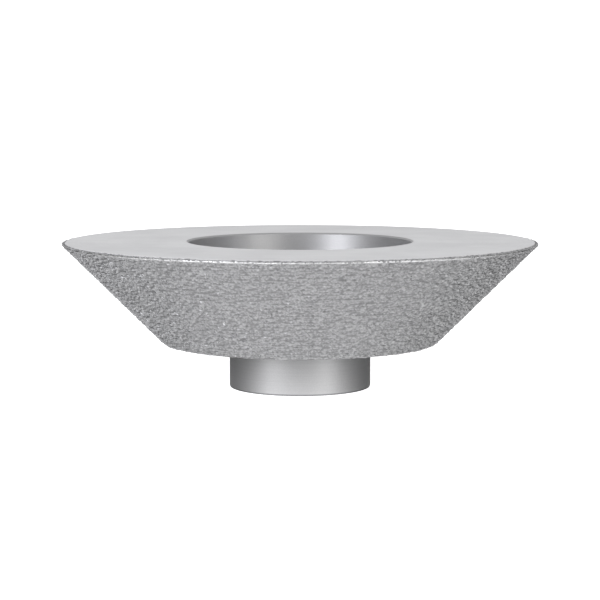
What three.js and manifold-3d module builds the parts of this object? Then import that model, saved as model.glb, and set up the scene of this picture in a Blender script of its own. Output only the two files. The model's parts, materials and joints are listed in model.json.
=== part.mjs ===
// Diamond bevel wheel with a threaded hub.
//
// A hand grinder spins the wheel about +Z. The wheel stands on the hub's seat face, which lies in
// the plane z = 0 and bears on the grinder's spindle, so the wide face with the recess is on top.
// The steel body is an upside-down truncated cone. A flanged hub goes down through the web of the
// body from the recess, and is brazed to it above and below the web. The cone's flank carries a
// layer of braze that holds diamond grains. All lengths are in millimetres.
import * as THREE from "three";
import { mergeVertices } from "three/addons/utils/BufferGeometryUtils.js";
import Module from "manifold-3d";

// ---- Overall sizes
const WHEEL_DIAMETER = 75; // over the tips of the grit, at the rim
const CONE_HEIGHT = 16.05; // from the base face of the cone to the wide face
const FLANK_ANGLE = THREE.MathUtils.degToRad(45); // between the flank and the axis

// ---- Abrasive coat, measured square to the flank
const BOND_THICKNESS = 0.28; // braze over the steel
const GRIT_PROTRUSION = 0.22; // grain tips over the braze

// ---- Steel body
const EDGE_BREAK = 0.1; // bevel round the wide face, which the coat stops below
const RIM_LAND = 0.06; // upright strip of steel between that bevel and the flank
const BASE_CORNER_RADIUS = 0.4; // between the flank and the base face
const WEB_THICKNESS = 4.6; // between the base face and the floor of the recess
const FLOOR_RING = 3.2; // floor of the recess outside the hub's collar
const FLOOR_FILLET = 1.2;
const LIP_BEVEL = 0.25; // round the mouth of the recess

// ---- Threaded hub
const HUB_DIAMETER = 22.4;
const HUB_PROJECTION = 7.15; // from the seat face up to the base face of the cone
const HUB_BEVEL = 0.32;
const COLLAR_OVERHANG = 3.3; // of the collar beyond the hub's side
const COLLAR_THICKNESS = 2.4;
const COLLAR_BEVEL = 0.4;
const THREAD_DIAMETER = 14; // M14 x 2, the usual spindle of a hand grinder
const THREAD_PITCH = 2;
const COUNTERSINK_MARGIN = 0.4; // of the countersinks over the thread

// ---- Joint between the hub and the body
const BRAZE_GAP = 0.05; // round the hub, in the bore of the web
const BASE_FILLET_LEG = 0.9;
const COLLAR_FILLET_LEG = 0.7;

// ---- Fineness of the facets
const SEGMENTS = 72; // round the axis
const ARC_STEPS = 2; // pairs of steps along a small round in a profile
const THREAD_STEPS = 36; // in one turn of the thread

// ---- Heights and radii that follow
const baseZ = HUB_PROJECTION;
const topZ = baseZ + CONE_HEIGHT;
const floorZ = baseZ + WEB_THICKNESS;
const hubTopZ = floorZ + COLLAR_THICKNESS;
const coatTopZ = topZ - EDGE_BREAK;
const hubRadius = HUB_DIAMETER / 2;
const boreRadius = hubRadius + BRAZE_GAP;
const collarRadius = hubRadius + COLLAR_OVERHANG;
const recessRadius = collarRadius + FLOOR_RING;
const bodyRimRadius = WHEEL_DIAMETER / 2 - BOND_THICKNESS - GRIT_PROTRUSION;

const wasm = await Module();
wasm.setup();

const point = (radius, height) => new THREE.Vector2(radius, height);

// Points along a round in a profile, with its centre at (radius, height).
function round(radius, height, size, from, to) {
  return new THREE.Path().absarc(radius, height, size, from, to, from > to).getPoints(ARC_STEPS);
}

// A ring turned about +Z from a profile of (radius, height) points that run anticlockwise.
function turned(profile) {
  return new THREE.LatheGeometry([...profile, profile[0]], SEGMENTS).rotateX(Math.PI / 2);
}

// The outside of the cone `proud` millimetres over the steel, from the base face up to the rim.
function coneSurface(proud) {
  const rim = bodyRimRadius + proud;
  const cornerZ = coatTopZ - RIM_LAND - proud * Math.tan(FLANK_ANGLE / 2);
  const base = rim - (cornerZ - baseZ) * Math.tan(FLANK_ANGLE);
  const corner = BASE_CORNER_RADIUS + proud;
  const centre = base - corner * Math.tan((Math.PI / 2 - FLANK_ANGLE) / 2);
  return [
    ...round(centre, baseZ + corner, corner, -Math.PI / 2, -FLANK_ANGLE),
    point(rim, cornerZ),
    point(rim, coatTopZ),
  ];
}

// A layer of the coat between two heights over the steel.
function coatLayer(inside, outside) {
  return turned([...coneSurface(outside), ...coneSurface(inside).reverse()]);
}

function wheelBody() {
  return turned([
    ...coneSurface(0),
    point(bodyRimRadius - EDGE_BREAK, topZ),
    point(recessRadius + LIP_BEVEL, topZ),
    point(recessRadius, topZ - LIP_BEVEL),
    ...round(recessRadius - FLOOR_FILLET, floorZ + FLOOR_FILLET, FLOOR_FILLET, 0, -Math.PI / 2),
    point(boreRadius, floorZ),
    point(boreRadius, baseZ),
  ]);
}

// A concave fillet of braze in the corner between a round side and a face; up is 1 or -1.
function brazeFillet(radius, height, leg, up) {
  const curve = round(radius + leg, height + up * leg, leg, Math.PI, Math.PI + (up * Math.PI) / 2);
  const profile = [point(radius, height), ...curve];
  return turned(up > 0 ? profile.reverse() : profile);
}

// A three.js geometry as a solid that can be cut.
function solid(geometry) {
  const bare = new THREE.BufferGeometry().setIndex(geometry.index);
  bare.setAttribute("position", geometry.getAttribute("position"));
  const merged = mergeVertices(bare, 1e-4);
  return new wasm.Manifold(
    new wasm.Mesh({
      numProp: 3,
      vertProperties: merged.getAttribute("position").array,
      triVerts: new Uint32Array(merged.index.array),
    }),
  );
}

function geometryOf(manifold) {
  const mesh = manifold.getMesh();
  const geometry = new THREE.BufferGeometry();
  geometry.setAttribute("position", new THREE.BufferAttribute(mesh.vertProperties, 3));
  geometry.setIndex(new THREE.BufferAttribute(mesh.triVerts, 1));
  return geometry;
}

// The metal that a tap takes out: a 60 degree groove, wound up a right-hand helix.
function threadGroove(majorRadius, length) {
  const reach = 0.7 * THREAD_PITCH; // from the root of the thread to well inside the bore
  const rootHalf = THREAD_PITCH / 16;
  const mouthHalf = rootHalf + reach * Math.tan(Math.PI / 6);
  const section = new THREE.Shape([
    point(majorRadius - reach, -mouthHalf),
    point(majorRadius, -rootHalf),
    point(majorRadius, rootHalf),
    point(majorRadius - reach, mouthHalf),
  ]);
  const turns = length / THREAD_PITCH + 2; // one turn runs out past each end
  const groove = new THREE.ExtrudeGeometry(section, {
    depth: turns,
    steps: Math.ceil(turns * THREAD_STEPS),
    bevelEnabled: false,
  });
  const at = groove.getAttribute("position");
  for (let i = 0; i < at.count; i++) {
    const radius = at.getX(i);
    const turn = at.getZ(i);
    const angle = -2 * Math.PI * turn;
    const height = length + THREAD_PITCH - THREAD_PITCH * turn + at.getY(i);
    at.setXYZ(i, radius * Math.cos(angle), radius * Math.sin(angle), height);
  }
  return groove;
}

function threadedHub() {
  const majorRadius = THREAD_DIAMETER / 2;
  const minorRadius = majorRadius - (5 / 8) * THREAD_PITCH * Math.cos(Math.PI / 6);
  const mouth = majorRadius + COUNTERSINK_MARGIN;
  const sink = mouth - minorRadius;
  const blank = turned([
    point(mouth, 0),
    point(hubRadius - HUB_BEVEL, 0),
    point(hubRadius, HUB_BEVEL),
    point(hubRadius, floorZ),
    point(collarRadius, floorZ),
    point(collarRadius, hubTopZ - COLLAR_BEVEL),
    point(collarRadius - COLLAR_BEVEL, hubTopZ),
    point(mouth, hubTopZ),
    point(minorRadius, hubTopZ - sink),
    point(minorRadius, sink),
  ]);
  return geometryOf(solid(blank).subtract(solid(threadGroove(majorRadius, hubTopZ))));
}

const finishes = {
  steel: { color: 0xc6c6c7, roughness: 0.42, metalness: 0.9 },
  hub: { color: 0xb4b4b6, roughness: 0.3, metalness: 1 },
  braze: { color: 0x8f8f92, roughness: 0.45, metalness: 0.9 },
  grit: { color: 0xa3a3a6, roughness: 0.4, metalness: 0.8 },
};

const wheel = new THREE.Group();

function add(name, geometry, finish) {
  const mesh = new THREE.Mesh(geometry, new THREE.MeshStandardMaterial(finishes[finish]));
  mesh.name = name;
  wheel.add(mesh);
}

add("wheel_body", wheelBody(), "steel");
add("threaded_hub", threadedHub(), "hub");
add("base_braze_fillet", brazeFillet(hubRadius, baseZ, BASE_FILLET_LEG, -1), "braze");
add("collar_braze_fillet", brazeFillet(collarRadius, floorZ, COLLAR_FILLET_LEG, 1), "braze");
add("braze_bond", coatLayer(0, BOND_THICKNESS), "braze");
add("diamond_grit", coatLayer(BOND_THICKNESS, BOND_THICKNESS + GRIT_PROTRUSION), "grit");

export default wheel;
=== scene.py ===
# %% [markdown]
# # A diamond bevel wheel
#
# This lesson dresses a grinding wheel for a hand grinder. The wheel is a steel cone on a threaded
# hub. Its flank carries thousands of diamond grains in a layer of brazing metal. The sizes are
# settled already, in a plain model that loads first as the frame. Each step below takes one piece
# of that frame and makes the surface that the eye sees, at the size that the frame gives.

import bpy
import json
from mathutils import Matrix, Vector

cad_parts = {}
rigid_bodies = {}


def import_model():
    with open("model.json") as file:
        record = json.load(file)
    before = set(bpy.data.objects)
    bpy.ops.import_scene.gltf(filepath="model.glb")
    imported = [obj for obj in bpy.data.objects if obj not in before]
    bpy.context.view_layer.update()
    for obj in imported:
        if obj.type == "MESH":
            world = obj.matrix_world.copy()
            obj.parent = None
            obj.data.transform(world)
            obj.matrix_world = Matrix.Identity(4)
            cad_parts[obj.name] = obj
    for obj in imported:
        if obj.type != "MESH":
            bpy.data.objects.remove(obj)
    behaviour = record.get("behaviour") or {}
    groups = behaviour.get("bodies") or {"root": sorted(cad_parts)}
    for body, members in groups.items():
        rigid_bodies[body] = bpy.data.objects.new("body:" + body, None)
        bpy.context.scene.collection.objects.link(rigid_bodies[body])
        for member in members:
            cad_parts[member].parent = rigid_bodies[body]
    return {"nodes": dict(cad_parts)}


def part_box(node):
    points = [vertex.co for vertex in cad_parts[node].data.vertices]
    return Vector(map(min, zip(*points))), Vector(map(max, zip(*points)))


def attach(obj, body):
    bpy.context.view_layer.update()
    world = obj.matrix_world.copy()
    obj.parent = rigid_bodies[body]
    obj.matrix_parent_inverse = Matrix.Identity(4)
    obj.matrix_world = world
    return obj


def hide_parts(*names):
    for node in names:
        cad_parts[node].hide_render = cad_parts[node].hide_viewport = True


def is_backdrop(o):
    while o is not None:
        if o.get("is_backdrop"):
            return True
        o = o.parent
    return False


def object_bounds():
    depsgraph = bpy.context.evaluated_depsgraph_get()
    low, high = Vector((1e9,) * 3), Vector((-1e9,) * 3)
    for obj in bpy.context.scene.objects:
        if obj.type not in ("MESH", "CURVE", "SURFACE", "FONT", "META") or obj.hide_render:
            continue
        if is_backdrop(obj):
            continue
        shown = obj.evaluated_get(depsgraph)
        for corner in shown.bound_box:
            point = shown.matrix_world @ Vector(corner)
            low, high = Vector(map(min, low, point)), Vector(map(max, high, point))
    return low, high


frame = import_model()
frame_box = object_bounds()
print("frame:", sorted(frame["nodes"]))

# %% The tools of this lesson
import json
import random
from math import atan2, cos, degrees, exp, hypot, pi, radians, sin, sqrt, tan

import bmesh
import bpy
from mathutils import Euler, Matrix, Vector, noise
from mathutils.kdtree import KDTree

MM = 0.001
TOUCH = 0.002 * MM  # two points closer than this are the same point
print("Blender", bpy.app.version_string)

# %% [markdown]
# ## Reading sizes off the frame
#
# Every piece is turned on a lathe, so two numbers say where a corner is: its radius and its height.
# The plain model's vertices hold both. Reading them there keeps one source for every size, and the
# looks follow if the model changes.


# %% Corners of a turned piece
def corners(node):
    """The (radius, height) of each vertex of a frame node, in metres."""
    return [(hypot(v.co.x, v.co.y), v.co.z) for v in frame["nodes"][node].data.vertices]


def radii(node, height):
    """The smallest and the largest radius that a frame node has at a height."""
    found = [r for r, z in corners(node) if abs(z - height) < TOUCH]
    return min(found), max(found)


print("corners of the body:", len(corners("wheel_body")))

# %% Sizes of the wheel body
body_low, body_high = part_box("wheel_body")
BASE_Z = body_low.z
TOP_Z = body_high.z
STEEL_RIM = body_high.x
LIP_MOUTH, RIM_BEVEL_IN = radii("wheel_body", TOP_Z)
BORE_RADIUS = radii("wheel_body", BASE_Z)[0]
EDGE_BREAK = STEEL_RIM - RIM_BEVEL_IN
BASE_FLAT = radii("wheel_body", BASE_Z)[1]

FLOOR_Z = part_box("collar_braze_fillet")[0].z
RECESS_RADIUS = min(r for r, z in corners("wheel_body") if z > (FLOOR_Z + TOP_Z) / 2)
LIP_BEVEL = LIP_MOUTH - RECESS_RADIUS
FLOOR_FILLET = RECESS_RADIUS - radii("wheel_body", FLOOR_Z)[1]
print(f"recess: {RECESS_RADIUS / MM:.2f} mm radius, {(TOP_Z - FLOOR_Z) / MM:.2f} mm deep")

# %% Sizes of the hub
hub_low, hub_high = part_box("threaded_hub")
SEAT_Z = hub_low.z
HUB_TOP_Z = hub_high.z
COLLAR_RADIUS = hub_high.x
HUB_RADIUS = radii("base_braze_fillet", BASE_Z)[0]
SINK_MOUTH, SEAT_EDGE = radii("threaded_hub", SEAT_Z)
HUB_BEVEL = HUB_RADIUS - SEAT_EDGE
COLLAR_BEVEL = COLLAR_RADIUS - radii("threaded_hub", HUB_TOP_Z)[1]
THREAD_MINOR = min(r for r, z in corners("threaded_hub"))
BASE_LEG = BASE_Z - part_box("base_braze_fillet")[0].z
COLLAR_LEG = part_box("collar_braze_fillet")[1].z - FLOOR_Z
print(f"hub: {HUB_RADIUS / MM:.2f} mm radius, {(BASE_Z - SEAT_Z) / MM:.2f} mm below the cone")

# %% Sizes of the coat
COAT_TOP_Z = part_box("diamond_grit")[1].z
BOND_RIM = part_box("braze_bond")[1].x
TIP_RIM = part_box("diamond_grit")[1].x
BOND_THICKNESS = BOND_RIM - STEEL_RIM
COAT_THICKNESS = TIP_RIM - STEEL_RIM
print(f"coat: {BOND_THICKNESS / MM:.2f} mm of braze, {COAT_THICKNESS / MM:.2f} mm over the tips")

# The steel's flank is the long straight side between its two widest rings of corners.
land_low = min(z for r, z in corners("wheel_body") if abs(r - STEEL_RIM) < TOUCH)
flank_top = Vector((STEEL_RIM, land_low))
low_corners = [(r, z) for r, z in corners("wheel_body") if z < BASE_Z + (TOP_Z - BASE_Z) / 4]
flank_foot = Vector(max(low_corners))
flank = flank_top - flank_foot
FLANK_LENGTH = flank.length
up_flank = flank.normalized()
off_flank = Vector((up_flank.y, -up_flank.x))
FLANK_ANGLE = atan2(up_flank.x, up_flank.y)
print(f"flank: {FLANK_LENGTH / MM:.2f} mm long, {degrees(FLANK_ANGLE):.2f} degrees to the axis")

# %% [markdown]
# ## Turning a ring
#
# A lathe makes a ring by sweeping a section round an axis, and so does bmesh's spin. The section is
# drawn with square corners. The corners are broken afterwards with a bevel on the circle of edges,
# as a turner does with a file, so each edge has its own size in one readable line.

# %% Turn a section, then break its edges
STEPS = 288  # flats round a turned piece, too many to see at its edge


def turned(section, steps=STEPS):
    """A closed ring swept from the (radius, height) corners of its section."""
    bm = bmesh.new()
    points = [bm.verts.new((radius, 0, height)) for radius, height in section]
    sides = [bm.edges.new((points[i - 1], points[i])) for i in range(len(points))]
    bmesh.ops.spin(
        bm, geom=points + sides, cent=(0, 0, 0), axis=(0, 0, 1), dvec=(0, 0, 0),
        angle=2 * pi, steps=steps, use_merge=True,
    )
    bmesh.ops.recalc_face_normals(bm, faces=bm.faces)
    return bm


def circle(bm, radius, height):
    """The edges of the circle at that radius and height."""
    def on(vert):
        return abs(hypot(vert.co.x, vert.co.y) - radius) < TOUCH and abs(vert.co.z - height) < TOUCH

    return [e for e in bm.edges if on(e.verts[0]) and on(e.verts[1])]


def break_edge(bm, radius, height, size, segments=1):
    """A flat bevel with one segment, a round with more, on one circle of edges."""
    bmesh.ops.bevel(
        bm, geom=circle(bm, radius, height), offset=size, offset_type="OFFSET",
        segments=segments, profile=0.5, affect="EDGES", material=-1,
    )


print(f"{STEPS} flats, {2 * pi * STEEL_RIM / STEPS / MM:.2f} mm wide at the rim")

# %% [markdown]
# ## From bmesh to a piece
#
# Each piece ends the same way: its mesh becomes an object at the origin, smooth except along edges
# that are sharp on the real thing. It rides on the frame's only body, takes its material in a slot,
# and hides the frame node that it replaces.

# %% Finish a piece
SHARP = radians(28)


def piece(bm, name, material, node, sharp=SHARP):
    """An object from a bmesh, in place of a frame node."""
    mesh = bpy.data.meshes.new(name)
    bm.to_mesh(mesh)
    bm.free()
    for face in mesh.polygons:
        face.use_smooth = True
    mesh.set_sharp_from_angle(angle=sharp)
    mesh.materials.append(material)
    made = bpy.data.objects.new(name, mesh)
    bpy.context.scene.collection.objects.link(made)
    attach(made, "root")
    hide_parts(node)
    triangles = sum(len(face.vertices) - 2 for face in mesh.polygons)
    print(f"{name}: {triangles} triangles")
    return made


# %% [markdown]
# ## Writing a material as sums
#
# A procedural material is mostly arithmetic on masks. Math nodes wired one by one hide that, so a
# small class wraps a socket and lets Python's operators add the nodes. Colours can't pass through a
# Math node, so they have a mix of their own.


# %% A socket that can be reckoned with
class Value:
    """A node's output that takes Python's operators, each of which adds one Math node."""

    def __init__(self, graph, socket):
        self.graph = graph
        self.socket = socket

    def math(self, operation, *others):
        inputs = dict(enumerate((self, *others)))
        return self.graph.node("ShaderNodeMath", {"operation": operation}, inputs)

    def __add__(self, other):
        return self.math("ADD", other)

    def __sub__(self, other):
        return self.math("SUBTRACT", other)

    def __rsub__(self, other):
        return self.graph.node("ShaderNodeMath", {"operation": "SUBTRACT"}, {0: other, 1: self})

    def __mul__(self, other):
        return self.math("MULTIPLY", other)

    __radd__ = __add__
    __rmul__ = __mul__

    def clamped(self, low, high):
        """0 below low, 1 above high, and a smooth climb between them."""
        settings = {"interpolation_type": "SMOOTHSTEP"}
        return self.graph.node("ShaderNodeMapRange", settings, {0: self, 1: low, 2: high})


# %% A node tree that grows one node at a time
class Graph:
    """A node tree under construction."""

    def __init__(self, tree):
        self.tree = tree

    def node(self, kind, settings, inputs, output=0):
        """Adds a node: its settings first, then the values or links of its sockets."""
        made = self.tree.nodes.new(kind)
        for name, setting in settings.items():
            setattr(made, name, setting)
        for name, value in inputs.items():
            if isinstance(value, Value):
                self.tree.links.new(value.socket, made.inputs[name])
            else:
                made.inputs[name].default_value = value
        return Value(self, made.outputs[output])

    def parts(self, vector):
        """The x, y and z of a vector."""
        kind = "ShaderNodeSeparateXYZ"
        return [self.node(kind, {}, {0: vector}, output) for output in range(3)]


class Finish(Graph):
    """A material with a Principled shader, and methods that add what a finish needs."""

    def __init__(self, name, **constants):
        self.material = bpy.data.materials.new(name)
        self.material.use_nodes = True
        super().__init__(self.material.node_tree)
        self.shader = self.tree.nodes["Principled BSDF"]
        for socket, number in constants.items():
            self.shader.inputs[socket.replace("_", " ")].default_value = number
        self.place = self.node("ShaderNodeTexCoord", {}, {}, "Object")
        self.x, self.y, self.z = self.parts(self.place)

    def noise(self, size, detail=3.0, rough=0.5, place=None):
        """Cloudy noise from 0 to 1, whose lumps are about size metres across."""
        inputs = {"Vector": place or self.place, "Scale": 1 / size}
        inputs |= {"Detail": detail, "Roughness": rough}
        return self.node("ShaderNodeTexNoise", {}, inputs)

    def mix(self, share, first, second):
        """A colour between two, by a share from 0 to 1."""
        inputs = {"Factor": share, 6: first, 7: second}
        return self.node("ShaderNodeMix", {"data_type": "RGBA"}, inputs, 2)

    def radius(self):
        """The distance from the axis."""
        inputs = {0: self.x, 1: self.y, 2: 0.0}
        across = self.node("ShaderNodeCombineXYZ", {}, inputs)
        return self.node("ShaderNodeVectorMath", {"operation": "LENGTH"}, {0: across}, "Value")

    def feed(self, socket, value):
        self.tree.links.new(value.socket, self.shader.inputs[socket])

    def relief(self, height, depth):
        """Bump of a height from 0 to 1, that is depth metres deep."""
        bump = self.node("ShaderNodeBump", {}, {"Height": height, "Distance": depth, "Strength": 1.0})
        self.feed("Normal", bump)


# %% [markdown]
# ## Turned and blasted steel
#
# The body and the hub are turned from bar, so fine rings run round the axis. The outside of the body
# was then blasted, which leaves a pale, even satin. The recess and the hub keep more of the tool's
# shine. The recess, the hub's collar inside it and the bevel at the hub's seat are painted darker, as
# painted shade. A picture of rings could be wrapped round each piece, but it would need a map and
# would show where it repeats. Here the rings are noise that is read at the point's radius and height
# instead of its place, so they run true all the way round. A slower noise bends the tone a little,
# because no real plate is one grey. Full metal would be truer to steel, but the wide face then flares
# pure white wherever it mirrors a softbox, so the blasted finish is only a quarter metal.

# %% Steel
FACE_METAL = 0.25
FACE_TONE = (0.55, 0.55, 0.556, 1)
FACE_DULL = (0.46, 0.46, 0.468, 1)
FACE_ROUGH = (0.77, 0.83)  # roughness where it is brightest, and where it is dullest
# The recess is turned steel, painted darker than the hub's as shade that falls in the recess.
RECESS_SHADED_TONE = (0.48, 0.48, 0.487, 1)
RECESS_SHADED_DULL = (0.385, 0.385, 0.393, 1)
RECESS_SHINE = 0.4  # how much less rough the recess is than the face
HUB_TONE = (0.77, 0.77, 0.78, 1)
HUB_DULL = (0.64, 0.64, 0.65, 1)
HUB_ROUGH = (0.42, 0.47)
HUB_SHADE_TONE = (0.26, 0.26, 0.27, 1)  # painted shade on the bevel at the hub's seat
COLLAR_SHADE = 0.75  # how much of that painted shade the hub takes inside the recess
RIM_SHADE_TONE = (0.14, 0.14, 0.145, 1)  # painted shade: a dark line on the lower bevel round the face, where the coat meets it
RING_PITCH = 0.12 * MM
RING_DEPTH = 0.0012 * MM
CLOUD_SIZE = 9 * MM
SPECK_SIZE = 0.18 * MM
NICK_SIZE = 0.7 * MM  # along the painted shade at the rim, which is broken
BLEND = 0.02 * MM  # over which one finish gives way to the next


def steel_finish(name, tone, dull, smooth, matt):
    """Turned steel, from bright and smooth spots to dull and matt ones."""
    finish = Finish(name, Metallic=1.0)
    radius = finish.radius()
    where = finish.node("ShaderNodeCombineXYZ", {}, {0: radius, 1: finish.z, 2: 0.0})
    rings = finish.noise(RING_PITCH, detail=2.0, place=where)
    cloud = finish.noise(CLOUD_SIZE, detail=4.0)
    speck = finish.noise(SPECK_SIZE, detail=2.0, rough=0.6)
    finish.bright = (cloud * 0.55 + speck * 0.3 + rings * 0.25).clamped(0.3, 0.75)
    finish.tone = finish.mix(finish.bright, dull, tone)
    finish.rough = (1 - finish.bright) * (matt - smooth) + smooth
    finish.relief(rings * 0.6 + speck * 0.4, RING_DEPTH)
    return finish


def body_steel():
    """Blasted outside, turned and painted darker in the recess, painted shade on the bevel at the
    rim.
    """
    finish = steel_finish("satin_steel", FACE_TONE, FACE_DULL, *FACE_ROUGH)
    radius = finish.radius()
    in_recess = radius.clamped(LIP_MOUTH + BLEND, LIP_MOUTH - BLEND)
    # Painted shade: the recess takes darker tones than the face.
    turned_and_shaded_tone = finish.mix(finish.bright, RECESS_SHADED_DULL, RECESS_SHADED_TONE)
    tone = finish.mix(in_recess, finish.tone, turned_and_shaded_tone)
    # Painted shade: the lower part of the bevel round the face is painted dark, broken by nicks.
    outer = radius.clamped(STEEL_RIM - 1.6 * EDGE_BREAK, STEEL_RIM - 0.9 * EDGE_BREAK)
    lower = finish.z.clamped(TOP_Z, TOP_Z - 0.4 * EDGE_BREAK)
    nicks = finish.noise(NICK_SIZE, detail=2.0).clamped(0.52, 0.62)
    rim_shade = outer * lower * (nicks * 0.7 + 0.3)
    finish.feed("Base Color", finish.mix(rim_shade, tone, RIM_SHADE_TONE))
    finish.feed("Roughness", finish.rough - in_recess * RECESS_SHINE)
    finish.feed("Metallic", in_recess * (1 - FACE_METAL) + FACE_METAL)
    return finish.material


def hub_steel():
    """Finer turned steel for the hub, with painted shade on its seat bevel and in the recess."""
    finish = steel_finish("turned_hub_steel", HUB_TONE, HUB_DULL, *HUB_ROUGH)
    # Painted shade: the bevel at the seat and the collar inside the recess are painted dark.
    foot = finish.z.clamped(SEAT_Z + HUB_BEVEL, SEAT_Z + 0.7 * HUB_BEVEL)
    inside = finish.z.clamped(BASE_Z, FLOOR_Z)
    tone = finish.mix(inside * COLLAR_SHADE, finish.tone, HUB_SHADE_TONE)
    finish.feed("Base Color", finish.mix(foot, tone, HUB_SHADE_TONE))
    finish.feed("Roughness", finish.rough)
    return finish.material


body_finish = body_steel()
hub_finish = hub_steel()
for steel in (body_finish, hub_finish):
    print(f"{steel.name}: {len(steel.node_tree.nodes)} nodes")

# %% [markdown]
# ## The wheel body
#
# On the real wheel this is one turned steel part: a cone with a recess sunk in its wide face and a
# hole through its web. It could be cut from a solid cone with booleans, but a turned part is best
# made as it is made in the workshop, by one section swept round the axis.

# %% Turn the body
section = [
    (BORE_RADIUS, BASE_Z),
    (BASE_FLAT, BASE_Z),
    tuple(flank_foot),
    tuple(flank_top),
    (STEEL_RIM, TOP_Z),
    (RECESS_RADIUS, TOP_Z),
    (RECESS_RADIUS, FLOOR_Z),
    (BORE_RADIUS, FLOOR_Z),
]
body = turned(section)
break_edge(body, STEEL_RIM, TOP_Z, EDGE_BREAK)
break_edge(body, RECESS_RADIUS, TOP_Z, LIP_BEVEL)
break_edge(body, RECESS_RADIUS, FLOOR_Z, FLOOR_FILLET, segments=8)
piece(body, "turned_wheel_body", body_finish, "wheel_body")

# %% [markdown]
# ## The threaded hub
#
# The hub is turned with a collar, bored, countersunk at both ends and tapped. The tap's cut is a
# groove of 60 degrees wound up a helix. Spin makes the helix when it also moves the section along
# the axis at each step, and a boolean takes the groove out of the hub. A bump could fake the thread,
# but it would look flat from above, where the bore is seen.

# %% Turn the hub's blank
sink = SINK_MOUTH - THREAD_MINOR
hub = turned([
    (SINK_MOUTH, SEAT_Z),
    (HUB_RADIUS, SEAT_Z),
    (HUB_RADIUS, FLOOR_Z),
    (COLLAR_RADIUS, FLOOR_Z),
    (COLLAR_RADIUS, HUB_TOP_Z),
    (SINK_MOUTH, HUB_TOP_Z),
    (THREAD_MINOR, HUB_TOP_Z - sink),
    (THREAD_MINOR, SEAT_Z + sink),
])
break_edge(hub, HUB_RADIUS, SEAT_Z, HUB_BEVEL, segments=2)
break_edge(hub, COLLAR_RADIUS, HUB_TOP_Z, COLLAR_BEVEL)
hub_piece = piece(hub, "tapped_hub", hub_finish, "threaded_hub")

# %% Wind the tap's groove
THREAD_PITCH = 2 * MM  # M14 x 2
THREAD_MAJOR = THREAD_MINOR + 5 / 8 * THREAD_PITCH * cos(pi / 6)
THREAD_STEPS = 72  # in one turn

reach = 0.7 * THREAD_PITCH
root_half = THREAD_PITCH / 16
mouth_half = root_half + reach * tan(pi / 6)
turns = (HUB_TOP_Z - SEAT_Z) / THREAD_PITCH + 2
start = SEAT_Z - THREAD_PITCH

groove = bmesh.new()
tooth = [
    groove.verts.new((THREAD_MAJOR - reach, 0, start - mouth_half)),
    groove.verts.new((THREAD_MAJOR, 0, start - root_half)),
    groove.verts.new((THREAD_MAJOR, 0, start + root_half)),
    groove.verts.new((THREAD_MAJOR - reach, 0, start + mouth_half)),
]
end = groove.faces.new(tooth)
bmesh.ops.duplicate(groove, geom=[end, *end.edges, *end.verts])
groove.faces.ensure_lookup_table()
moving = groove.faces[-1]
steps = int(turns * THREAD_STEPS)
bmesh.ops.spin(
    groove, geom=[*moving.verts, *moving.edges, moving], cent=(0, 0, 0), axis=(0, 0, 1),
    dvec=(0, 0, turns * THREAD_PITCH / steps), angle=turns * 2 * pi, steps=steps,
)
bmesh.ops.remove_doubles(groove, verts=groove.verts, dist=TOUCH)
bmesh.ops.recalc_face_normals(groove, faces=groove.faces)
groove_mesh = bpy.data.meshes.new("tap_groove")
groove.to_mesh(groove_mesh)
groove.free()
tap = bpy.data.objects.new("tap", groove_mesh)
bpy.context.scene.collection.objects.link(tap)
print(f"groove: {turns:.1f} turns, {len(groove_mesh.polygons)} faces")


# %% Cut the thread
def applied(made):
    """Turns what a piece's modifiers make into its own mesh."""
    graph = bpy.context.evaluated_depsgraph_get()
    shaped = bpy.data.meshes.new_from_object(made.evaluated_get(graph))
    made.modifiers.clear()
    made.data = shaped
    return shaped


cut = hub_piece.modifiers.new("thread", "BOOLEAN")
cut.operation = "DIFFERENCE"
cut.solver = "EXACT"
cut.object = tap
applied(hub_piece)
hub_piece.data.set_sharp_from_angle(angle=SHARP)
bpy.data.objects.remove(tap)
print(f"tapped_hub: {len(hub_piece.data.polygons)} faces")

# %% [markdown]
# ## Braze fillets
#
# Molten braze climbs into the corner between two parts and sets as a small hollow ring. It never
# sets evenly: it is wide where more metal ran. A plain swept ring would look machined. Sculpting it
# by hand would give the run of the metal, but couldn't be repeated. So the ring is swept, and each
# vertex is then moved in or out a little by noise that changes slowly round the axis.

# %% Braze
BRAZE_TONE = (0.5, 0.49, 0.475, 1)
BRAZE_DULL = (0.34, 0.335, 0.33, 1)
MOTTLE_SIZE = 0.7 * MM
PIT_SIZE = 0.12 * MM
PIT_DEPTH = 0.03 * MM


def fillet_braze():
    """Set brazing metal: mottled, and a little warmer than steel."""
    finish = Finish("fillet_braze", Metallic=1.0)
    mottle = finish.noise(MOTTLE_SIZE, detail=5.0, rough=0.6)
    pits = finish.noise(PIT_SIZE, detail=2.0)
    finish.feed("Base Color", finish.mix(mottle.clamped(0.35, 0.65), BRAZE_DULL, BRAZE_TONE))
    finish.feed("Roughness", 0.52 - mottle * 0.25)
    finish.relief(mottle * 0.7 + pits * 0.3, PIT_DEPTH)
    return finish.material


braze = fillet_braze()
print(f"{braze.name}: {len(braze.node_tree.nodes)} nodes")

# %% Run the two fillets
FILLET_STEPS = 8  # across the hollow
RUN_SIZE = 2.2 * MM  # round the axis, from where more metal ran to where less did


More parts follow.
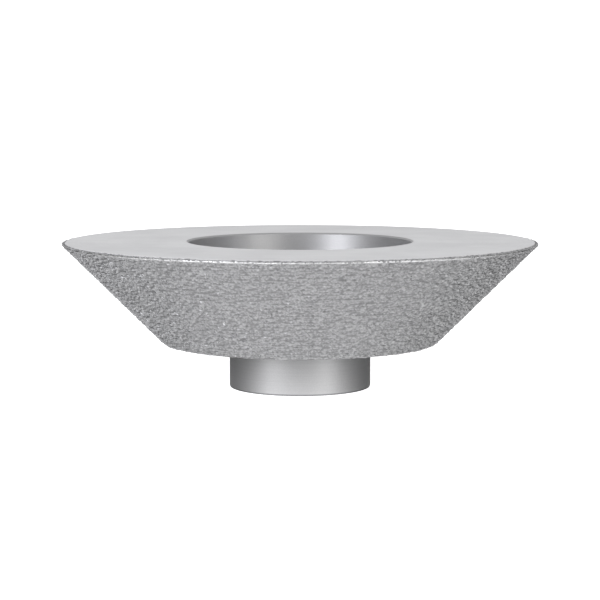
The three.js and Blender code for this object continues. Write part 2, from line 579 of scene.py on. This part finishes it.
def braze_ring(name, node, radius, height, leg, up, seed):
    """A hollow fillet in the corner at a radius and height, above (1) or below (-1) the face."""
    hollow = [i * pi / 2 / FILLET_STEPS for i in range(FILLET_STEPS + 1)]
    curve = [(radius + leg - leg * cos(a), height + up * (leg - leg * sin(a))) for a in hollow]
    ring = turned([(radius, height), *curve])
    for vert in ring.verts:
        away = hypot(vert.co.x, vert.co.y) - radius
        climb = abs(vert.co.z - height)
        along = Vector((vert.co.x, vert.co.y, seed)) / RUN_SIZE
        run = min(0.82 + 0.18 * noise.noise(along) + 0.08 * noise.noise(along * 3), 1)
        if away > TOUCH:
            vert.co.xy *= (radius + away * run) / (radius + away)
        vert.co.z = height + up * climb * run
    piece(ring, name, braze, node, sharp=radians(60))


braze_ring("lower_braze_ring", "base_braze_fillet", HUB_RADIUS, BASE_Z, BASE_LEG, -1, 1)
braze_ring("upper_braze_ring", "collar_braze_fillet", COLLAR_RADIUS, FLOOR_Z, COLLAR_LEG, 1, 2)

# %% [markdown]
# ## Where the grains sit
#
# Grains are shaken onto a sticky flank and lie in one layer, close together but in no pattern. A
# true packing would need many passes. Rows of evenly spaced grains, each pushed off its place at
# random and each row turned by a random start, look the same and take one loop.

# %% Scatter the grains
GRAIN_PITCH = 0.62 * MM
GRAIN_SIZE = 0.46 * MM  # across a whole crystal
SIZES = (0.72, 1.08)  # the smallest and the largest grain, as shares of that
STAND_OFF = (-0.04 * MM, 0.02 * MM)  # the least and the most, from the steel to a grain
SCATTER = 0.3  # of the pitch
FIRST_ROW = 0.35  # of a row gap, that the top row stands above the flank's upper edge
FOOT_MARGIN = 0.5 * MM  # that the rows run on past the foot of the flank
LAND = COAT_TOP_Z - land_low  # the upright strip at the rim
chance = random.Random(14)


def on_flank(along, proud):
    """The (radius, height) at a distance up the flank and a distance off the steel."""
    return flank_foot + up_flank * along + off_flank * proud


def scatter_grains():
    """A list of (place, size): the middle of each grain, and its share of the full size."""
    grains = []
    row_gap = GRAIN_PITCH * sqrt(3) / 2
    rows = int((FLANK_LENGTH + FOOT_MARGIN) / row_gap)
    for row in range(rows + 1):
        along = FLANK_LENGTH - (row - FIRST_ROW) * row_gap
        around = int(2 * pi * on_flank(along, 0).x / GRAIN_PITCH)
        turn = chance.uniform(0, 2 * pi)
        for i in range(around):
            size = chance.uniform(*SIZES)
            wander = chance.uniform(-SCATTER, SCATTER) * GRAIN_PITCH
            drift = chance.uniform(-SCATTER, SCATTER)
            sit = GRAIN_SIZE * size / 2 + chance.uniform(*STAND_OFF)
            radius, height = on_flank(along + wander, sit)
            angle = turn + (i + drift) * 2 * pi / around
            place = Vector((radius * cos(angle), radius * sin(angle), height))
            grains.append((place, size))
    return grains


grains = scatter_grains()
tree = KDTree(len(grains))
for i, (place, size) in enumerate(grains):
    tree.insert(place, i)
tree.balance()
print(f"{len(grains)} grains")

# %% [markdown]
# ## The braze layer
#
# Brazing metal wets diamond, so it climbs each grain and sinks between them. That hammered skin is
# most of what is seen of the coat. The layer is swept like the body, with many short steps up the
# flank. Then every vertex of its outer face moves off the steel by an amount that depends on how
# near the closest grains are. A displacement texture would know nothing of the grains. The layer is
# made in four quarters, which keeps each mesh small. One fine sweep gets slow as its mesh grows, so
# a quarter starts as a narrow wedge, and spin then lays copies of the wedge side by side.

# %% Sweep a quarter of the layer
QUARTERS = 4
CLIMB = 0.18 * MM  # up a grain, over the metal between grains
VALLEY = 0.2 * MM  # metal over the steel, between grains
WEDGES = 15  # in a quarter
WEDGE_STEPS = 20
FLANK_CUTS = 150
LAND_CUTS = 2
MITRE = tan(FLANK_ANGLE / 2)  # between the flank and the upright strip at the rim


def outline_of_coat():
    """The layer's section as a wire: up the outside, then back down the steel."""
    outside = [
        Vector((BASE_FLAT, BASE_Z)),
        on_flank(0, VALLEY),
        Vector((STEEL_RIM + VALLEY, land_low - VALLEY * MITRE)),
        Vector((STEEL_RIM + VALLEY, COAT_TOP_Z)),
    ]
    inside = [Vector((STEEL_RIM, COAT_TOP_Z)), flank_top, flank_foot]
    bm = bmesh.new()
    points = [bm.verts.new((p.x, 0, p.y)) for p in outside + inside]
    sides = [bm.edges.new((points[i - 1], points[i])) for i in range(len(points))]
    foot, slope, land = sides[1:4]
    for side, cuts in ((foot, LAND_CUTS), (slope, FLANK_CUTS), (land, LAND_CUTS)):
        bmesh.ops.subdivide_edges(bm, edges=[side], cuts=cuts)
    return bm


def quarter_of_coat(number):
    """A quarter of a ring of even thickness, closed at both ends."""
    bm = outline_of_coat()
    quarter_turn = 2 * pi / QUARTERS
    wedge = quarter_turn / WEDGES
    axis = {"cent": (0, 0, 0), "axis": (0, 0, 1), "dvec": (0, 0, 0)}
    bmesh.ops.rotate(bm, verts=bm.verts, matrix=Matrix.Rotation(number * quarter_turn, 3, "Z"))
    wire = [*bm.verts, *bm.edges]
    bmesh.ops.spin(bm, geom=wire, angle=wedge, steps=WEDGE_STEPS, **axis)
    copied = [*bm.verts, *bm.edges, *bm.faces]
    bmesh.ops.spin(
        bm, geom=copied, angle=wedge * (WEDGES - 1), steps=WEDGES - 1, use_duplicate=True, **axis,
    )
    bmesh.ops.remove_doubles(bm, verts=bm.verts, dist=TOUCH)
    ends = [e for e in bm.edges if e.is_boundary]
    bmesh.ops.holes_fill(bm, edges=ends)
    bmesh.ops.recalc_face_normals(bm, faces=bm.faces)
    return bm


around_step = 2 * pi * STEEL_RIM / (QUARTERS * WEDGES * WEDGE_STEPS)
slope_step = FLANK_LENGTH / (FLANK_CUTS + 1)
print(f"coat cells: {around_step / MM:.2f} mm round the rim, {slope_step / MM:.2f} mm up the flank")

# %% [markdown]
# The metal stands highest at a grain and falls away from it in a slope, the meniscus. Sculpting
# would take days for thousands of grains, so a tree of their places finds the few that are nearest
# to each vertex, and the highest slope of theirs wins. The slopes run into each other more round the
# wheel than up the flank, so a distance counts as shorter round the wheel and as longer up the
# flank. The strip at the rim is ground true after brazing, so there the metal is nearly level.

# %% Raise the metal round the grains
REACH = 0.34 * MM  # from a grain's middle to where its meniscus ends
UP_SLOPE = 1.6  # on the square of a distance up the flank
ROUND_RIM = 0.6  # on the square of a distance round the wheel
NEIGHBOURS = 4  # grains that can wet one spot
RIPPLE_DEPTH = 0.03 * MM
RIPPLE_SIZE = 0.5 * MM
PROBE = 0.1 * MM  # over the metal, at about the middle of a grain
GROUND_PROUD = 0.43 * MM  # of the ground strip at the rim, over the steel
GROUND_FADE = 0.25 * MM  # down the flank, from that strip to the rough coat
NICK_DEPTH = 0.05 * MM  # in the ground strip
NICK_LENGTH = 0.35 * MM


def off_steel(co):
    """How far a point is off the steel's flank, and how far up it."""
    to = Vector((hypot(co.x, co.y), co.z)) - flank_foot
    return to.dot(off_flank), to.dot(up_flank)


def rise(co):
    """How much higher the braze stands here than in a valley."""
    height = 0.0
    for place, i, away in tree.find_n(co, NEIGHBOURS):
        size = grains[i][1]
        slope = 2 * (place.z - co.z) ** 2
        around = max(away * away - slope, 0)
        away = sqrt(slope * UP_SLOPE + around * ROUND_RIM)
        height = max(height, CLIMB * size * exp(-((away / (REACH * size)) ** 4)))
    ripple = noise.noise(Vector((co.x / ROUND_RIM, co.y / ROUND_RIM, co.z * 2)) / RIPPLE_SIZE)
    return height + RIPPLE_DEPTH * ripple


def wet(bm):
    """Moves the outer face of the layer off the steel, round the grains."""
    stretch = (LAND + GROUND_PROUD * MITRE) / (LAND + VALLEY * MITRE)
    for vert in bm.verts:
        proud, along = off_steel(vert.co)
        on_steel = proud < 0.6 * VALLEY
        if on_steel or vert.co.z < BASE_Z + TOUCH:
            continue
        out = Vector((vert.co.x, vert.co.y, 0)).normalized()
        if along > FLANK_LENGTH:
            nick = NICK_DEPTH * noise.noise(vert.co / NICK_LENGTH)
            vert.co += out * (GROUND_PROUD - VALLEY + min(nick, 0))
            vert.co.z = COAT_TOP_Z - (COAT_TOP_Z - vert.co.z) * stretch
        else:
            way = out * off_flank.x + Vector((0, 0, off_flank.y))
            near_rim = max(0, 1 - (FLANK_LENGTH - along) / GROUND_FADE)
            rough = rise(vert.co + way * PROBE)
            vert.co += way * (rough + (GROUND_PROUD - VALLEY - rough) * near_rim)


print(f"the braze is {VALLEY / MM:.2f} mm thick in the valleys, {CLIMB / MM:.2f} mm more at a grain")

# %% [markdown]
# The finish of the layer is bare brazing metal. Its colour is darker in the valleys between the
# grains and lighter on the crests, which are also a little less rough. The valleys could be painted
# by hand.
# But how far a point stands off the steel is plain geometry on a cone, so the shader works it out
# from the point's radius and height.

# %% Coat braze
COAT_TONE = (0.36, 0.36, 0.367, 1)
COAT_DULL = (0.22, 0.22, 0.225, 1)
LAND_TONE = (0.9, 0.9, 0.91, 1)  # the ground strip at the rim
COAT_ROUGH = 0.6
BUMP_SIZE = 0.16 * MM  # of the fine bumps in the metal
BUMP_DEPTH = 0.02 * MM
PATCH_SIZE = 6 * MM


def coat_braze():
    """Brazing metal on the flank, and the bright ground strip at the rim."""
    finish = Finish("coat_braze", Metallic=1.0)
    radius = finish.radius()
    proud = (radius - flank_foot.x) * off_flank.x + (finish.z - flank_foot.y) * off_flank.y
    crest = proud.clamped(VALLEY, VALLEY + CLIMB)
    bumps = finish.noise(BUMP_SIZE, detail=3.0, rough=0.6)
    cloud = finish.noise(PATCH_SIZE, detail=3.0)
    shade = crest * 0.6 + bumps * 0.3 + cloud * 0.25
    tone = finish.mix(shade.clamped(0.15, 0.9), COAT_DULL, COAT_TONE)
    land = radius.clamped(STEEL_RIM + 0.8 * GROUND_PROUD, STEEL_RIM + 0.9 * GROUND_PROUD)
    finish.feed("Base Color", finish.mix(land, tone, LAND_TONE))
    finish.feed("Roughness", COAT_ROUGH - crest * 0.08 - bumps * 0.08 - land * 0.2)
    finish.relief(bumps, BUMP_DEPTH)
    return finish.material


# %% Make the four quarters
coat_material = coat_braze()
print(f"{coat_material.name}: {len(coat_material.node_tree.nodes)} nodes")
for number in range(QUARTERS):
    quarter = quarter_of_coat(number)
    wet(quarter)
    name = f"braze_coat_{number + 1}"
    piece(quarter, name, coat_material, "braze_bond", sharp=radians(50))

# %% [markdown]
# ## The diamond grains
#
# A synthetic diamond crystal is a cube with its corners cut off, or an octahedron with its tips cut
# off, and some are broken. Beveling a cube's corners makes the first, a deeper bevel the second,
# and a slice through either a chip. Each has a few dozen faces at most, because thousands of
# copies follow. The copies are turned at random and sunk in the braze to about half their height.

# %% Crystals
def crystal(cut, slice_at=None):
    """A crystal of about one unit across, with its corners cut by a share of its edge."""
    bm = bmesh.new()
    bmesh.ops.create_cube(bm, size=1)
    bmesh.ops.bevel(
        bm, geom=bm.verts[:], offset=cut, offset_type="OFFSET", segments=1, profile=0.5,
        affect="VERTICES", material=-1,
    )
    bmesh.ops.remove_doubles(bm, verts=bm.verts, dist=0.01)
    if slice_at is not None:
        split = bmesh.ops.bisect_plane(
            bm, geom=bm.verts[:] + bm.edges[:] + bm.faces[:], dist=0.001,
            plane_co=(slice_at, 0, 0), plane_no=(1, 0.35, 0.2), clear_outer=True,
        )
        rim = [e for e in split["geom_cut"] if isinstance(e, bmesh.types.BMEdge)]
        bmesh.ops.holes_fill(bm, edges=rim)
    bmesh.ops.recalc_face_normals(bm, faces=bm.faces)
    mesh = bpy.data.meshes.new("crystal")
    bm.to_mesh(mesh)
    bm.free()
    return mesh


whole = [crystal(0.3), crystal(0.5), crystal(0.42)]
chipped = [crystal(0.5, 0.2), crystal(0.35, 0.25)]
crystals = whole + chipped
print("crystal faces:", [len(mesh.polygons) for mesh in crystals])

# %% [markdown]
# The crystals are smoky, and a film of braze creeps over them in the furnace, so they look more like
# frosted metal than like glass. Clear glass would be true to the stone, but thousands of clear
# grains are slow to trace and sparkle with noise. Each grain holds one random number in an attribute
# of its vertices, which makes one grain bright and the next one dark in a single material.

# %% Diamond
DIAMOND_TONE = (0.38, 0.38, 0.387, 1)
DIAMOND_DULL = (0.24, 0.24, 0.245, 1)
DIAMOND_ROUGH = 0.66
FILM_SIZE = 0.2 * MM
FILM_DEPTH = 0.01 * MM


def diamond():
    """Grains with a thin film of braze on them, from bright ones to smoky ones."""
    finish = Finish("brazed_diamond", Metallic=0.85, IOR=2.42)
    tone = finish.node("ShaderNodeAttribute", {"attribute_name": "tone"}, {}, "Fac")
    film = finish.noise(FILM_SIZE, detail=2.0)
    shade = tone * 0.7 + film * 0.3
    finish.feed("Base Color", finish.mix(shade, DIAMOND_DULL, DIAMOND_TONE))
    finish.feed("Roughness", DIAMOND_ROUGH - tone * 0.1)
    finish.relief(film, FILM_DEPTH)
    return finish.material


diamond_material = diamond()
print(f"{diamond_material.name}: {len(diamond_material.node_tree.nodes)} nodes")

# %% [markdown]
# The grains could be instances that a modifier scatters, which would save memory. But no two would
# be cut to fit the coat. Here each grain is copied into one big mesh with bmesh, and its vertices
# that would stand proud of the coat are pressed back to its surface, as the grinding does that
# trues a real wheel. The grains are shared out by their angle, so that no mesh gets too large.

# %% Set the grains
BATCHES = 4
GRAIN_SHARP = 0.1  # radians, so that every edge of a crystal is crisp


def ground(co):
    """Keeps a grain inside the coat: the rim is ground true after brazing."""
    radius = hypot(co.x, co.y)
    if radius > TIP_RIM:
        co.xy *= TIP_RIM / radius
    co.z = max(min(co.z, COAT_TOP_Z), BASE_Z)
    proud, along = off_steel(co)
    if proud > COAT_THICKNESS:
        radius = hypot(co.x, co.y)
        back = off_flank * (COAT_THICKNESS - proud)
        co.xy *= (radius + back.x) / radius
        co.z += back.y
    return co


def grain_batch(batch):
    """The grains of one share of the flank, as one bmesh."""
    bm = bmesh.new()
    tone = bm.verts.layers.float.new("tone")
    for place, size in batch:
        known = len(bm.verts)
        bm.from_mesh(chance.choice(crystals))
        bm.verts.ensure_lookup_table()
        tilt = Euler([chance.uniform(0, 2 * pi) for axis in "xyz"])
        scale = Matrix.Diagonal([GRAIN_SIZE * size * chance.uniform(0.8, 1) for axis in "xyz"])
        spun = tilt.to_matrix() @ scale
        shade = chance.random()
        for vert in bm.verts[known:]:
            vert.co = ground(place + spun @ vert.co)
            vert[tone] = shade
    return bm


def batch_of(place):
    """The number of the batch that a grain at that place goes into."""
    share_of_turn = atan2(place.y, place.x) / (2 * pi) + 1
    return int(share_of_turn * BATCHES) % BATCHES


for number in range(BATCHES):
    bm = grain_batch([grain for grain in grains if batch_of(grain[0]) == number])
    name = f"diamond_grains_{number + 1}"
    piece(bm, name, diamond_material, "diamond_grit", sharp=GRAIN_SHARP)

# %% [markdown]
# ## White paper
#
# The wheel stands on white paper that is lit until no grey is left in it. A curved backdrop could
# hide the horizon, but here the paper and the background are both full white, so a flat sheet does.
# The paper glows a little by itself, so that it stays white close to the wheel. Polished metal would
# mirror it as one bright sheet, so reflections pass through the paper and see the table that the
# next step paints.

# %% Floor
PAPER_HALF = 0.9  # metres, from the middle of the sheet to its edge
PAPER_GLOW = 0.8

floor_mesh = bpy.data.meshes.new("paper")
bm = bmesh.new()
bmesh.ops.create_grid(bm, x_segments=1, y_segments=1, size=PAPER_HALF)
bm.to_mesh(floor_mesh)
bm.free()
floor = bpy.data.objects.new("paper_floor", floor_mesh)
bpy.context.scene.collection.objects.link(floor)
floor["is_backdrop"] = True
floor.visible_glossy = False
paper = Finish("white_paper", Roughness=0.9)
paper.shader.inputs["Base Color"].default_value = (0.9, 0.9, 0.9, 1)
paper.shader.inputs["Emission Color"].default_value = (1, 1, 1, 1)
paper.shader.inputs["Emission Strength"].default_value = PAPER_GLOW
floor_mesh.materials.append(paper.material)
print(f"paper: {2 * PAPER_HALF} m square")

# %% [markdown]
# ## A tent of light
#
# Metal shows what is round it. Small metal goods are lit in a white tent, on a table that is bright
# below them and dark farther out. Walls, a roof and a table could be built as glowing sheets. A
# world that gives each direction its brightness does the same with no mesh. Close below the wheel
# the table is bright, for the flank. Farther out it is dark, for the sides of the hub, apart from
# two streaks where it mirrors the softboxes. The wall in front is brighter than the one behind. The
# camera sees plain white in place of all this.

# %% Tent
TABLE_GLOW = 1.75  # brightness of the table close below
TABLE_SHADE = 0.05  # farther out
TABLE_STREAK = 0.52  # farther out, below the softboxes
FRONT_WALL = 1
BACK_WALL = 0.64
ROOF = 0.68
PAGE = 1.1  # brightness of the plain background

# Where one brightness gives way to the next, along an axis of the unit vector of the direction.
NEAR_TABLE = (-0.5, -0.62)  # down
HORIZON = (-0.02, 0.02)  # up
TO_ROOF = (0.45, 0.8)  # up
TO_FRONT = (0, -0.4)  # to the front
STREAK_INSIDE = (0.42, 0.55)  # to either side
STREAK_OUTSIDE = (0.86, 0.74)  # to either side
STREAK_FRONT = (0, -0.3)  # to the front

world = bpy.data.worlds.new("white_tent")
bpy.context.scene.world = world
world.use_nodes = True
tent = Graph(world.node_tree)
way_x, way_y, way_z = tent.parts(tent.node("ShaderNodeTexCoord", {}, {}, "Generated"))
aside = way_x.math("ABSOLUTE")
streaks = aside.clamped(*STREAK_INSIDE) * aside.clamped(*STREAK_OUTSIDE)
streaks = streaks * way_y.clamped(*STREAK_FRONT)
far_table = streaks * (TABLE_STREAK - TABLE_SHADE) + TABLE_SHADE
table = far_table + (TABLE_GLOW - far_table) * way_z.clamped(*NEAR_TABLE)
wall = way_y.clamped(*TO_FRONT) * (FRONT_WALL - BACK_WALL) + BACK_WALL
above = wall + (ROOF - wall) * way_z.clamped(*TO_ROOF)
glow = table + (above - table) * way_z.clamped(*HORIZON)
seen = tent.node("ShaderNodeLightPath", {}, {}, "Is Camera Ray")
brightness = glow.math("MAXIMUM", seen * PAGE)
background = tent.tree.nodes["Background"]
background.inputs["Color"].default_value = (1, 1, 1, 1)
tent.tree.links.new(brightness.socket, background.inputs["Strength"])
print(f"tent: {len(tent.tree.nodes)} nodes")

# %% [markdown]
# ## Softboxes
#
# Two tall softboxes stand in front, left and right. A round piece of metal shows each as a bright
# band: there are two on the hub and two in the recess. Point lamps would draw thin hard lines. Each
# box is made of two area lamps, one above the other, because the upper half is the stronger. The
# left box is stronger and cooler than the right one.

# %% Set up the softboxes
BOX_WIDE = 0.35  # metres
BOX_TALL = 0.2
BOX_AWAY = 0.9  # from the wheel
COOL = (0.95, 0.96, 1)
WARM = (1, 0.99, 0.96)


def softbox(name, azimuth, elevation, radiance, tint):
    """A lamp that looks at the wheel. Azimuth 0 is in front, and grows to the right."""
    aim = Vector((0, 0, (SEAT_Z + TOP_Z) / 2))
    turn = radians(azimuth)
    lift = radians(elevation)
    way = Vector((sin(turn) * cos(lift), -cos(turn) * cos(lift), sin(lift)))
    lamp = bpy.data.lights.new(name, "AREA")
    lamp.shape = "RECTANGLE"
    lamp.size = BOX_WIDE
    lamp.size_y = BOX_TALL
    lamp.energy = radiance * pi * BOX_WIDE * BOX_TALL
    lamp.color = tint
    made = bpy.data.objects.new(name, lamp)
    made.location = aim + way * BOX_AWAY
    made.rotation_euler = way.to_track_quat("Z", "Y").to_euler()
    bpy.context.scene.collection.objects.link(made)
    print(f"{name}: {lamp.energy:.2f} W")


softbox("left_box_low", azimuth=-42, elevation=14, radiance=13, tint=COOL)
softbox("left_box_high", azimuth=-42, elevation=27, radiance=21, tint=COOL)
softbox("right_box_low", azimuth=40, elevation=14, radiance=5.8, tint=WARM)
softbox("right_box_high", azimuth=40, elevation=27, radiance=8, tint=WARM)

# %% [markdown]
# ## Camera
#
# The camera stands in front, at twice the height of the wheel, and looks a little down, so the wide
# face shows as a thin ellipse. A long lens from farther away would flatten the ellipse, and a short
# one would swell the near rim. This one lies between them, as for goods on a table.

# %% Camera
CAMERA_BACK = 311.8 * MM
CAMERA_HEIGHT = 47.0 * MM
CAMERA_PITCH = 6.085  # degrees below level
SENSOR_WIDTH = 36  # millimetres, as lenses are rated
FOCAL_LENGTH = 118.5  # millimetres

camera_data = bpy.data.cameras.new("camera")
camera_data.sensor_width = SENSOR_WIDTH
camera_data.lens = FOCAL_LENGTH
camera_data.clip_start = 0.01  # metres
camera = bpy.data.objects.new("camera", camera_data)
camera.location = (0, -CAMERA_BACK, CAMERA_HEIGHT)
camera.rotation_euler = (radians(90 - CAMERA_PITCH), 0, 0)
bpy.context.scene.collection.objects.link(camera)
bpy.context.scene.camera = camera
bpy.context.scene.view_settings.view_transform = "Standard"
print(f"view: {degrees(camera_data.angle):.1f} degrees wide")

# %% [markdown]
# ## Last look at the size
#
# The pieces must fill the same box as the frame they stand for. Both boxes are written down, so that
# they can be compared without opening Blender.

# %% Print the two boxes and finish
sizes = {"frame": frame_box, "visual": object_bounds()}
sizes = {name: [list(corner) for corner in box] for name, box in sizes.items()}
print(sizes)
